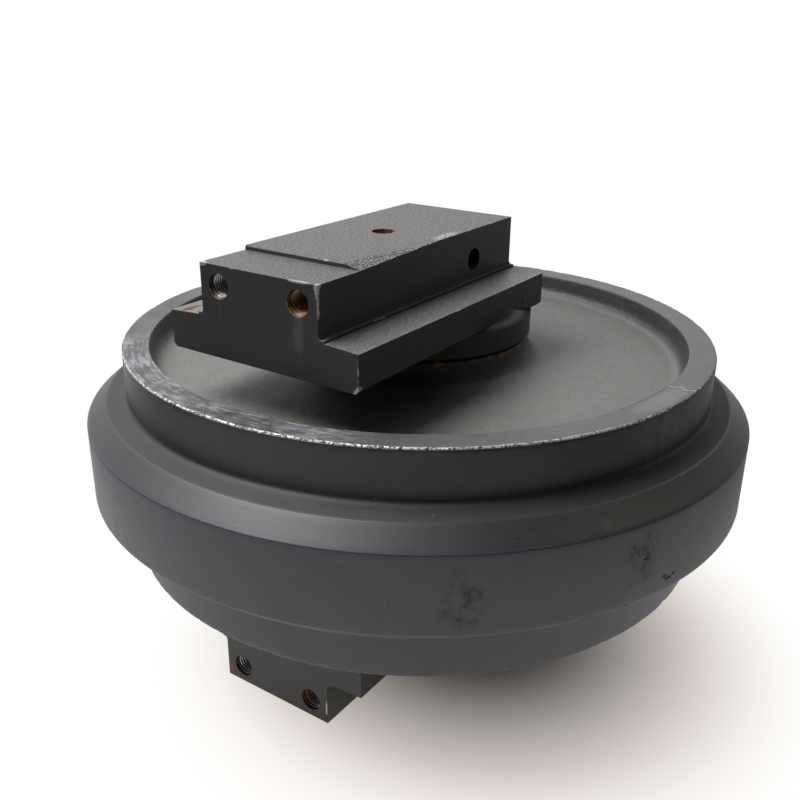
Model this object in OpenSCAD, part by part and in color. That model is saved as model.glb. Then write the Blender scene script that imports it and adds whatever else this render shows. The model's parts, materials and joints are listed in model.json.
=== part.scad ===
// Front idler of a tracked excavator: a hollow double-web wheel that turns on a fixed axle,
// carried by two T-shaped slide brackets. Millimetres. Z is the axle, the origin is the wheel's
// centre, and X points from the axle to the face that the track adjuster's yoke bolts to.

/* [Wheel] */
// Diameter of the two treads that the track links roll on
tread_d = 440; // [410:1:470]
// Width over the two rims
wheel_w = 156; // [148:1:170]
// Diameter of the raised guide band between the treads
guide_d = 498; // [488:1:520]
// Width of the guide band's cylindrical face
guide_face_w = 53; // [44:1:58]
// Radial depth of the bevel on each flank of the guide band
guide_bevel_r = 14; // [9:0.5:17]
// Axial depth of that bevel
guide_bevel_z = 12.4; // [8:0.2:14]
// Slope of the shoulder that joins the bevel to the tread, in degrees
shoulder_slope = 13.5; // [6:0.5:18]
// Fillet where the shoulder runs up into the tread
tread_root_r = 5; // [2:0.5:7]
// Width of the flat land on top of each rim
rim_land = 19; // [16:0.5:23]
// Bevel on the tread's outer edge
rim_bevel = 1.5; // [0.5:0.25:3]
// Depth of the dished web below the rim's land
dish_depth = 18; // [14:0.5:22]
// Draft of the dish wall, in degrees
dish_draft = 9; // [3:0.5:15]
// Fillet at the foot of the dish wall
dish_foot_r = 9; // [4:0.5:11]
// Diameter of the hub's end face
hub_d = 168; // [158:1:180]
// Height of the hub's end face above the rim's land
hub_rise = 0.5; // [0:0.25:2]
// Straight edge of the hub, above the flare that runs out into the web
hub_edge_h = 2.5; // [1:0.5:6]

/* [Wheel hollow] */
// Thickness of the web
web_t = 13; // [10:0.5:16]
// Thickness of the rim under the tread
rim_t = 19; // [15:0.5:23]
// Thickness of the band under the guide face
guide_t = 23; // [18:0.5:26]
// Width of the pocket under the guide band
pocket_w = 28; // [20:1:34]
// Slope of the pocket's flanks, in degrees
pocket_slope = 35; // [25:1:40]
// Wall of the hub tube outside the bush
hub_tube_t = 21; // [17:0.5:25]
// Fillet in the corners of the hollow
hollow_r = 10; // [5:0.5:12]
// Depth of the weld that joins the wheel halves
weld_depth = 10; // [7:0.5:13]
// Width of that weld at the guide face
weld_w = 12; // [8:0.5:16]

/* [Axle and bushes] */
// Diameter of the axle
axle_d = 65; // [60:1:70]
// Bevel on the axle's ends
axle_bevel = 2.5; // [1:0.5:4]
// Wall of a bush
bush_t = 3.5; // [2.5:0.25:5]
// Length of a bush below its flange
bush_len = 46; // [36:1:54]
// Thickness of the bush's thrust flange
bush_flange_t = 4; // [3:0.25:5]
// Width of the thrust flange outside the bush
bush_flange_w = 6.5; // [5:0.25:7]
// Oil grooves along the bore of a bush
bush_grooves = 4; // [2:1:6]
// Diameter of the cutter that makes an oil groove
bush_groove_d = 3; // [2:0.25:4]
// Radial depth of the oil space between the bushes
oil_space = 4; // [2:0.5:6]

/* [Floating seals] */
// Gap between the hub's face and the bracket's boss
seal_gap = 1.5; // [1:0.1:2.5]
// Wall of the bracket's thrust collar
collar_wall = 10; // [8:0.5:12]
// Radial gap between the collar and the bore of a seal ring
collar_gap = 2.5; // [2:0.25:4]
// Radial width of a seal ring's flange
seal_face_w = 12; // [10:0.5:13]
// Radial width of the lapped band at the flange's edge
seal_band_w = 5; // [3:0.25:7]
// Depth of the taper inside the lapped band
seal_taper = 1; // [0.5:0.1:1.5]
// Thickness of a seal ring's flange
seal_face_t = 5; // [4:0.25:6]
// Radial thickness of a seal ring behind its flange
seal_root_w = 9; // [8:0.25:10]
// Axial length of a seal ring
seal_len = 16; // [15:0.25:18]
// Slope of the ramps that hold the toric ring, in degrees
seal_ramp = 15; // [8:0.5:20]
// Section diameter of the rubber toric ring
toric_d = 9.4; // [8:0.1:10]
// Room between the ring's flange and the toric ring
toric_room = 0.5; // [0.3:0.1:1]
// Room behind a seal ring
seal_tail_gap = 1.5; // [1:0.1:2.5]
// Section diameter of the axle's O-ring
oring_d = 3.5; // [2.5:0.1:4.5]
// Width of the O-ring's groove in the axle
oring_groove_w = 4.6; // [4.6:0.1:6]
// Distance from the seal recess to the O-ring
oring_inset = 16; // [12:0.5:20]

/* [Brackets] */
// Axle centre to the bolted front face
bracket_front = 176.5; // [160:0.5:200]
// Axle centre to the plain back face
bracket_back = 54; // [46:0.5:70]
// Diameter of the round boss that houses the seal
boss_d = 170; // [160:1:184]
// Height of the boss from its face to the ledge
boss_h = 16; // [13:0.5:24]
// Height of the boss's rim above the foot of the ledge
boss_rim_h = 1; // [0.5:0.5:4]
// Bevel on the boss's lower edge
boss_bevel = 1; // [0.5:0.25:2]
// Width of the ledge that slides under the guide rails
ledge_w = 152; // [146:0.5:158]
// Thickness of the ledge at the neck
ledge_t = 26.3; // [22:0.1:32]
// Fall of the ledge's upper face towards its edge
ledge_fall = 1.5; // [0:0.1:3]
// Bevel on the ledge's lower long edges
ledge_bevel = 2.5; // [1:0.25:4]
// Width of the neck that runs between the guide rails
neck_w = 93.8; // [88:0.2:100]
// Height of the neck above the ledge
neck_h = 37.3; // [34:0.1:44]
// Width of the raised strip left along the foot of the neck
strip_w = 4; // [2:0.5:6]
// Height of that strip
strip_h = 1.4; // [0.6:0.1:2]
// Fillet between the strip and the neck
strip_r = 2.5; // [1:0.25:4]
// Length of the machined pad at the front of the neck
pad_len = 41; // [34:0.5:50]
// Depth of that pad below the raised top
pad_drop = 3.1; // [1.5:0.1:5]
// Width of the worn bevel on the raised top, where it meets the pad
worn_w = 13; // [8:0.5:18]
// Drop of the worn bevel at the neck's edge
worn_drop = 3; // [1.5:0.1:4]
// Length over which the worn bevel runs out
worn_run = 90; // [60:1:110]
// Wall that closes the axle's bore
cap_t = 7; // [5:0.25:9]

/* [Fastening] */
// Thread diameter of the yoke bolts
bolt_d = 16; // [14:1:18]
// Distance between the two yoke bolts of a bracket
bolt_spacing = 63.8; // [56:0.2:68]
// Raised top to the axis of the yoke bolts
bolt_drop = 16.3; // [13:0.1:22]
// Depth of a bolt hole's full diameter
bolt_depth = 38; // [28:0.5:44]
// Point angle of the drill that makes the bolt holes, in degrees
drill_point = 118; // [90:1:140]
// Diameter of the lock pin through bracket and axle
pin_d = 16; // [12:0.5:18]
// Raised top to the lock pin's axis
pin_drop = 22; // [20:0.1:25]
// Depth of the lock pin's ends below the neck's sides
pin_sink = 9; // [4:0.5:12]
// Bevel on the lock pin's ends
pin_bevel = 1.2; // [0.5:0.1:2]
// Diameter of the oil plug
plug_d = 16; // [12:0.5:18]
// Axle centre to the oil plug
plug_x = 46.5; // [44:0.5:48]
// Length of the oil plug
plug_len = 11; // [8:0.5:12]
// Depth of the oil plug below the raised top
plug_sink = 8; // [4:0.5:10]
// Size across flats of the plug's hexagon socket
plug_hex = 8; // [5:0.5:9]
// Depth of the plug's hexagon socket
plug_hex_depth = 6; // [3:0.5:7]
// Diameter of the oil drilling from the plug to the seal recess
oil_drill_d = 5; // [3:0.5:6]

/* [Clearances] */
// Radial running clearance between axle and bush
running_clear = 0.05; // [0.02:0.01:0.09]
// Radial clearance of fixed fits
seat_clear = 0.02; // [0.01:0.01:0.04]
// Axial play between a bush's flange and the thrust collar
end_play = 0.3; // [0.2:0.05:0.6]
// Oil film between the lapped seal faces
seal_film = 0.04; // [0.02:0.01:0.1]
// Clearance around rubber rings
rubber_clear = 0.05; // [0.02:0.01:0.1]
// Gap between the axle's end and the end of its bore
axle_end_gap = 0.5; // [0.2:0.1:1.5]

/* [Hidden] */
$fn = 128;

// Overlap of cutting tools past the faces that they cut
over = 1;

// Wheel, in the half section of its upper half
tread_r = tread_d / 2;
guide_r = guide_d / 2;
rim_z = wheel_w / 2;
web_z = rim_z - dish_depth;
hub_r = hub_d / 2;
hub_z = rim_z + hub_rise;
bevel_r = guide_r - guide_bevel_r;
bevel_z = guide_face_w / 2 + guide_bevel_z;
shoulder_z = bevel_z + (bevel_r - tread_r) * tan(shoulder_slope);
land_r = tread_r - rim_land;
dish_r = land_r - dish_depth * tan(dish_draft);
flare_r = hub_z - web_z - hub_edge_h;
hollow_z = web_z - web_t;
hollow_rim_r = tread_r - rim_t;
hollow_guide_r = guide_r - guide_t;
pocket_z = pocket_w / 2 + (hollow_guide_r - hollow_rim_r) * tan(pocket_slope);

// Axle, bushes and thrust collars
axle_r = axle_d / 2;
bush_ir = axle_r + running_clear;
bush_or = bush_ir + bush_t;
bush_seat_r = bush_or + seat_clear;
bush_flange_r = bush_or + bush_flange_w;
hub_tube_r = bush_seat_r + hub_tube_t;
oil_space_r = bush_seat_r + oil_space;
collar_ir = axle_r + seat_clear;
collar_or = collar_ir + collar_wall;

// Floating seals, measured from the plane where the two seal rings meet
seal_z = hub_z + seal_gap / 2;
ring_ir = collar_or + collar_gap;
ring_or = ring_ir + seal_face_w;
ring_root_r = ring_ir + seal_root_w;
ring_tail_r = ring_root_r - (seal_len - seal_face_t) * tan(seal_ramp);
toric_reach = (toric_d / 2 + rubber_clear) / cos(seal_ramp);
toric_s = seal_face_t + toric_room + toric_d / 2;
toric_r = ring_root_r + toric_reach - (toric_s - seal_face_t) * tan(seal_ramp);
recess_depth = seal_len + seal_tail_gap;
wheel_floor_z = seal_z - recess_depth;
bush_in_z = wheel_floor_z - bush_len;
collar_z = wheel_floor_z + bush_flange_t + end_play;

// Upper bracket
boss_r = boss_d / 2;
boss_z = hub_z + seal_gap;
boss_shoulder_r = boss_r - ledge_w / 2;
bracket_floor_z = seal_z + recess_depth;
ledge_z = boss_z + boss_h;
ledge_top_z = ledge_z + ledge_t;
top_z = ledge_top_z + neck_h;
bracket_len = bracket_front + bracket_back;
pad_x = bracket_front - pad_len;
bore_z = top_z - cap_t;
axle_z = bore_z - axle_end_gap;
oring_z = bracket_floor_z + oring_inset;
oring_groove = oring_d + 2 * rubber_clear;
pin_z = top_z - pin_drop;
pin_len = neck_w - 2 * pin_sink;
plug_z = top_z - plug_sink - plug_len;

// Colours of the finishes
paint = [0.2, 0.2, 0.21];
steel = [0.62, 0.62, 0.63];
iron = [0.42, 0.42, 0.44];
bronze = [0.72, 0.52, 0.28];
rubber = [0.09, 0.09, 0.09];
rust = [0.45, 0.26, 0.14];

// Inner radius of a seal's housing at a distance s from the plane where the rings meet
function housing_r(s) = toric_r + toric_reach - (s - toric_s) * tan(seal_ramp);

function unit(v) = v / norm(v);

// Arc that rounds a corner: the two points where it touches the sides, with its centre between them
function rounding(corner, toward_a, toward_b, r) =
    let (
        a = unit(toward_a - corner),
        b = unit(toward_b - corner),
        half = acos(a * b) / 2,
        reach = r / tan(half)
    )
    [corner + a * reach, corner + unit(a + b) * (r / sin(half)), corner + b * reach];

// The lower side repeats the upper one, turned half round about the bracket's length
module below() {
    rotate([180, 0, 0]) children();
}

module wheel_hollow_section() {
    inner = rounding([hub_tube_r, hollow_z], [hub_tube_r, 0], [hollow_rim_r, hollow_z], hollow_r);
    outer = rounding([hollow_rim_r, hollow_z], [hub_tube_r, hollow_z], [hollow_rim_r, 0], hollow_r);
    polygon(concat([[hub_tube_r, -over]], inner, outer, [
        [hollow_rim_r, pocket_z],
        [hollow_guide_r, pocket_w / 2],
        [hollow_guide_r, -over]
    ]));
    translate(inner[1]) circle(hollow_r);
    translate(outer[1]) circle(hollow_r);
}

module wheel_half_section() {
    root = rounding([tread_r, shoulder_z], [bevel_r, bevel_z], [tread_r, rim_z], tread_root_r);
    dish_foot = rounding([dish_r, web_z], [land_r, rim_z], [hub_r, web_z], dish_foot_r);
    hub_foot = rounding([hub_r, web_z], [dish_r, web_z], [hub_r, hub_z], flare_r);
    difference() {
        polygon(concat([
            [bush_seat_r, 0],
            [guide_r - weld_depth, 0],
            [guide_r, weld_w / 2],
            [guide_r, guide_face_w / 2],
            [bevel_r, bevel_z]
        ], root, [
            [tread_r, rim_z - rim_bevel],
            [tread_r - rim_bevel, rim_z],
            [land_r, rim_z]
        ], dish_foot, hub_foot, [
            [hub_r, hub_z],
            [bush_seat_r, hub_z]
        ]));
        translate(root[1]) circle(tread_root_r);
        translate(dish_foot[1]) circle(dish_foot_r);
        translate(hub_foot[1]) circle(flare_r);
        wheel_hollow_section();
        // Oil space between the bushes
        translate([0, -over]) square([oil_space_r, bush_in_z + over]);
        // Ramped recess of the floating seal
        polygon([
            [0, wheel_floor_z],
            [housing_r(recess_depth), wheel_floor_z],
            [housing_r(-over), seal_z + over],
            [0, seal_z + over]
        ]);
    }
}

module wheel_half() {
    rotate_extrude() wheel_half_section();
}

module upper_wheel_half() {
    color(paint) wheel_half();
}

module lower_wheel_half() {
    color(paint) below() wheel_half();
}

module rim_weld() {
    color(paint) rotate_extrude() polygon([
        [guide_r - weld_depth, 0],
        [guide_r, -weld_w / 2],
        [guide_r, weld_w / 2]
    ]);
}

module oring_groove_cut() {
    translate([0, 0, oring_z - oring_groove_w / 2]) difference() {
        cylinder(r = axle_r + over, h = oring_groove_w);
        translate([0, 0, -over]) cylinder(r = axle_r - oring_groove, h = oring_groove_w + 2 * over);
    }
}

module pin_hole() {
    translate([0, neck_w / 2 + over, pin_z]) rotate([90, 0, 0])
        cylinder(r = pin_d / 2 + seat_clear, h = neck_w + 2 * over);
}

module axle() {
    color(steel) difference() {
        rotate_extrude() polygon([
            [0, -axle_z],
            [axle_r - axle_bevel, -axle_z],
            [axle_r, axle_bevel - axle_z],
            [axle_r, axle_z - axle_bevel],
            [axle_r - axle_bevel, axle_z],
            [0, axle_z]
        ]);
        oring_groove_cut();
        pin_hole();
        below() oring_groove_cut();
        below() pin_hole();
    }
}

// Flanged bush with oil grooves along its bore
module bush() {
    flange_z = wheel_floor_z + bush_flange_t;
    color(bronze) difference() {
        rotate_extrude() polygon([
            [bush_ir, bush_in_z],
            [bush_or, bush_in_z],
            [bush_or, wheel_floor_z],
            [bush_flange_r, wheel_floor_z],
            [bush_flange_r, flange_z],
            [bush_ir, flange_z]
        ]);
        for (i = [0 : bush_grooves - 1])
            rotate((i + 0.5) * 360 / bush_grooves) translate([bush_ir, 0, bush_in_z - over])
                cylinder(d = bush_groove_d, h = flange_z - bush_in_z + 2 * over);
    }
}

module upper_bush() {
    bush();
}

module lower_bush() {
    below() bush();
}

// Metal seal ring, from its lapped face to its tail
module seal_ring() {
    face = seal_film / 2;
    color(iron) rotate_extrude() polygon([
        [ring_or, face],
        [ring_or, seal_face_t],
        [ring_root_r, seal_face_t],
        [ring_tail_r, seal_len],
        [ring_ir, seal_len],
        [ring_ir, face + seal_taper],
        [ring_or - seal_band_w, face]
    ]);
}

module toric_ring() {
    color(rubber) rotate_extrude() translate([toric_r, toric_s]) circle(d = toric_d);
}

module on_wheel_side() {
    translate([0, 0, seal_z]) mirror([0, 0, 1]) children();
}

module on_bracket_side() {
    translate([0, 0, seal_z]) children();
}

module upper_wheel_seal_ring() {
    on_wheel_side() seal_ring();
}

module upper_wheel_toric_ring() {
    on_wheel_side() toric_ring();
}

module upper_bracket_seal_ring() {
    on_bracket_side() seal_ring();
}

module upper_bracket_toric_ring() {
    on_bracket_side() toric_ring();
}

module lower_wheel_seal_ring() {
    below() on_wheel_side() seal_ring();
}

module lower_wheel_toric_ring() {
    below() on_wheel_side() toric_ring();
}

module lower_bracket_seal_ring() {
    below() on_bracket_side() seal_ring();
}

module lower_bracket_toric_ring() {
    below() on_bracket_side() toric_ring();
}

module axle_oring() {
    color(rubber) translate([0, 0, oring_z]) rotate_extrude()
        translate([axle_r - oring_groove / 2, 0]) circle(d = oring_d);
}

module upper_axle_oring() {
    axle_oring();
}

module lower_axle_oring() {
    below() axle_oring();
}

// Half of the bracket's T section, across and up
module bracket_half_section() {
    neck = neck_w / 2;
    ledge = ledge_w / 2;
    strip_top = ledge_top_z + strip_h;
    foot = rounding([neck, strip_top], [neck + strip_w, strip_top], [neck, top_z], strip_r);
    difference() {
        polygon(concat([
            [0, ledge_z],
            [ledge - ledge_bevel, ledge_z],
            [ledge, ledge_z + ledge_bevel],
            [ledge, ledge_top_z - ledge_fall],
            [neck + strip_w, ledge_top_z],
            [neck + strip_w, strip_top]
        ], foot, [
            [neck, top_z],
            [0, top_z]
        ]));
        translate(foot[1]) circle(strip_r);
    }
}

module bracket_bar() {
    translate([-bracket_back, 0, 0]) rotate([90, 0, 90]) linear_extrude(bracket_len) union() {
        bracket_half_section();
        mirror([1, 0]) bracket_half_section();
    }
}

// Boss with a hollow shoulder that runs from its rim up the ledge's side
module bracket_boss() {
    shoulder_z = ledge_z + boss_rim_h + boss_shoulder_r;
    rotate_extrude() difference() {
        polygon([
            [0, boss_z],
            [boss_r - boss_bevel, boss_z],
            [boss_r, boss_z + boss_bevel],
            [boss_r, shoulder_z],
            [0, shoulder_z]
        ]);
        translate([boss_r, shoulder_z]) circle(boss_shoulder_r);
    }
}

module seal_recess_cut() {
    rotate_extrude() polygon([
        [0, seal_z - over],
        [housing_r(-over), seal_z - over],
        [housing_r(recess_depth), bracket_floor_z],
        [0, bracket_floor_z]
    ]);
}

// Half space above the worn bevel, which starts at the pad and runs out along the top
module worn_cut() {
    edge = neck_w / 2;
    start = [pad_x, edge - worn_w, top_z];
    low = [pad_x, edge, top_z - worn_drop];
    run_out = [pad_x - worn_run, edge, top_z];
    normal = unit(cross(low - start, run_out - start));
    intersection() {
        translate(run_out) rotate([-asin(normal.y), atan2(normal.x, normal.z), 0])
            translate([-bracket_len, -neck_w, 0]) cube([2 * bracket_len, 2 * neck_w, neck_h]);
        translate([pad_x - bracket_len, -neck_w, ledge_top_z]) cube([bracket_len, 2 * neck_w, 2 * neck_h]);
    }
}

// Blind hole for a yoke bolt, from the front face
module bolt_hole(y) {
    r = bolt_d / 2;
    point = r / tan(drill_point / 2);
    translate([bracket_front, y, top_z - bolt_drop]) rotate([0, -90, 0]) {
        translate([0, 0, -over]) cylinder(r = r, h = bolt_depth + over);
        translate([0, 0, bolt_depth]) cylinder(r1 = r, r2 = 0, h = point);
    }
}

// Plug seat, and the drilling from it to the seal recess
module oil_hole() {
    translate([plug_x, 0, plug_z]) {
        cylinder(r = plug_d / 2 + seat_clear, h = top_z - plug_z + over);
        translate([0, 0, bracket_floor_z - over - plug_z])
            cylinder(d = oil_drill_d, h = plug_z - bracket_floor_z + 2 * over);
    }
}

module bracket() {
    color(paint) difference() {
        union() {
            difference() {
                union() {
                    bracket_bar();
                    bracket_boss();
                }
                seal_recess_cut();
            }
            // Thrust collar that reaches through the seal to the bush
            translate([0, 0, collar_z]) cylinder(r = collar_or, h = bracket_floor_z + over - collar_z);
        }
        // Blind bore for the axle
        translate([0, 0, collar_z - over]) cylinder(r = collar_ir, h = bore_z - collar_z + over);
        // Machined pad at the front
        translate([pad_x, -neck_w, top_z - pad_drop]) cube([pad_len + over, 2 * neck_w, pad_drop + over]);
        worn_cut();
        bolt_hole(bolt_spacing / 2);
        bolt_hole(-bolt_spacing / 2);
        pin_hole();
        oil_hole();
    }
}

module upper_bracket() {
    bracket();
}

module lower_bracket() {
    below() bracket();
}

module lock_pin() {
    r = pin_d / 2;
    color(steel) translate([0, 0, pin_z]) rotate([90, 0, 0]) rotate_extrude() polygon([
        [0, -pin_len / 2],
        [r - pin_bevel, -pin_len / 2],
        [r, pin_bevel - pin_len / 2],
        [r, pin_len / 2 - pin_bevel],
        [r - pin_bevel, pin_len / 2],
        [0, pin_len / 2]
    ]);
}

module upper_lock_pin() {
    lock_pin();
}

module lower_lock_pin() {
    below() lock_pin();
}

// Set plug with a hexagon socket, seated on the shoulder of its hole
module oil_plug() {
    color(rust) translate([plug_x, 0, plug_z]) difference() {
        cylinder(d = plug_d, h = plug_len);
        translate([0, 0, plug_len - plug_hex_depth])
            cylinder(r = plug_hex / 2 / cos(30), h = plug_hex_depth + over, $fn = 6);
    }
}

module upper_oil_plug() {
    oil_plug();
}

module lower_oil_plug() {
    below() oil_plug();
}

upper_wheel_half();
lower_wheel_half();
rim_weld();
axle();
upper_bush();
lower_bush();
upper_wheel_seal_ring();
upper_wheel_toric_ring();
upper_bracket_seal_ring();
upper_bracket_toric_ring();
lower_wheel_seal_ring();
lower_wheel_toric_ring();
lower_bracket_seal_ring();
lower_bracket_toric_ring();
upper_axle_oring();
lower_axle_oring();
upper_bracket();
lower_bracket();
upper_lock_pin();
lower_lock_pin();
upper_oil_plug();
lower_oil_plug();
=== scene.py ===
"""Front idler of a tracked excavator, standing on its lower bracket. Metres, in the part's own frame."""
import json
import math

import bmesh
import bpy
import numpy as np
from mathutils import Matrix, Vector, geometry, noise


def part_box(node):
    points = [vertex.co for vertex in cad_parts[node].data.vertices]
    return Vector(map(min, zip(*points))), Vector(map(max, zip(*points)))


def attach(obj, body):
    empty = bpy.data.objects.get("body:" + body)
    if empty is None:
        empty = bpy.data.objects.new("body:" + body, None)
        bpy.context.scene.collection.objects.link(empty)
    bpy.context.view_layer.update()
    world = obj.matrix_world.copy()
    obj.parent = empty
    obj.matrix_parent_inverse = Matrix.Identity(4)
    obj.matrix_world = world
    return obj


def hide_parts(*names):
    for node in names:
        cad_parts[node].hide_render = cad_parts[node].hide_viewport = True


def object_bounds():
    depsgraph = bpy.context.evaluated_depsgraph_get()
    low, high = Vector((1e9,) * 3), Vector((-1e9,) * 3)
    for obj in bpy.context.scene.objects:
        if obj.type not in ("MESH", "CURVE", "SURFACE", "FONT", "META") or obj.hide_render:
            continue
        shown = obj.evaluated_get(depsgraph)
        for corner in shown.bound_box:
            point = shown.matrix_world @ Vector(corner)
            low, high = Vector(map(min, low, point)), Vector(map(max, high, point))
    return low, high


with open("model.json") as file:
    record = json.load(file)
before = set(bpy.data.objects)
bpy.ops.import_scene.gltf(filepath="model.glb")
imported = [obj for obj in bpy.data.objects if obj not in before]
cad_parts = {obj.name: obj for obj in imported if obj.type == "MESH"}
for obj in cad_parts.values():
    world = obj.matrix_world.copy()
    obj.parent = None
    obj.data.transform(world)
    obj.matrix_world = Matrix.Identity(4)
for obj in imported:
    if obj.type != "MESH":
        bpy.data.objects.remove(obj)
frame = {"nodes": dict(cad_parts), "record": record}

MM = 0.001
DEG = math.radians(1)
scene = bpy.context.scene
nodes = frame["nodes"]

# Sizes that the frame gives
cad_low, cad_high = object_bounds()
wheel_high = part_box("upper_wheel_half")[1]
bracket_low, bracket_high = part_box("upper_bracket")
GUIDE_R = wheel_high.x
HUB_Z = wheel_high.z
WELD_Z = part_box("rim_weld")[1].z
FRONT_X = bracket_high.x
BACK_X = bracket_low.x
TOP_Z = bracket_high.z
FLOOR_Z = cad_low.z
yoke_bolts = next(m for m in frame["record"]["mounts"] if m["name"] == "yoke_bolts")
BOLT_R = yoke_bolts["dims"]["hole_r_mm"] * MM
BOLT_Y = yoke_bolts["dims"]["spacing_x_mm"] * MM / 2
BOLT_Z = yoke_bolts["dims"]["spacing_y_mm"] * MM / 2

# Wheel section
TREAD_R = 220 * MM
RIM_Z = 78 * MM
GUIDE_HALF = 26.5 * MM
BEVEL_R = 235 * MM
BEVEL_Z = 38.9 * MM
SHOULDER_Z = 42.5 * MM
LAND_R = 201 * MM
DISH_R = 198.15 * MM
WEB_Z = 60 * MM
HUB_R = 84 * MM
SEAL_MOUTH_R = 66.1 * MM
SEAL_FLOOR_R = 61.6 * MM
SEAL_FLOOR_Z = 61.75 * MM
BUSH_SEAT_R = 36.07 * MM
BUSH_END_Z = 15.75 * MM
OIL_SPACE_R = 40.07 * MM
HUB_TUBE_R = 57.07 * MM
HOLLOW_Z = 47 * MM
HOLLOW_RIM_R = 201 * MM
HOLLOW_GUIDE_R = 226 * MM
POCKET_Z = 31.5 * MM
POCKET_HALF = 14 * MM
WELD_R = 239 * MM

# Weld build-up that fills the edge of the dish on one stretch of the rim, and ends in a crack
BUILD_UP = (64 * DEG, 76 * DEG, 87.5 * DEG)
BUILD_UP_WIDTH = 16 * MM
BUILD_UP_PROUD = 0.3 * MM
CRACK_DEPTH = 0.5 * MM
CRACK_SWING = 0.35 * DEG
CRACK_WAVES = 700

# Bracket
NECK_Y = 46.9 * MM
LEDGE_Y = 76 * MM
LEDGE_Z = 96 * MM
LEDGE_TOP_Z = 122.3 * MM
PAD_X = 135.5 * MM
PAD_DROP = 3.1 * MM
WORN_Y = 33.9 * MM
WORN_RUN = 90 * MM
PIN_Z = 137.6 * MM
PLUG_X = 46.5 * MM
HOLE_R = 8 * MM
SEAL_RECESS_R = 70 * MM

# Thread of the yoke bolts
PITCH = 2 * MM
THREAD_DEPTH = 1.1 * MM
THREAD_LEN = 30 * MM
THREAD_START = 1.4 * MM
THREAD_SUNK = 0.05 * MM
THREAD_FOOT = 0.95 * MM
THREAD_TIP = 0.15 * MM
PER_TURN = 40

# Camera, solved from the outlines of the wheel and the brackets
CAMERA_DISTANCE = 747.9 * MM
CAMERA_AZIMUTH = 33.34 * DEG
CAMERA_ELEVATION = 23.371 * DEG
VIEW_HEADING = -145.55 * DEG
VIEW_PITCH = 22.523 * DEG
VIEW_ROLL = 0.584 * DEG
LENS = 41.96
SHIFT_Y = 0.0069
SENSOR_WIDTH = 36
CLIP_START = 0.01

# The far side of the set as photographed, its left and straight up
FAR = Vector((math.cos(VIEW_HEADING), math.sin(VIEW_HEADING), 0))
UP = Vector((0, 0, 1))
LEFT = UP.cross(FAR)


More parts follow.
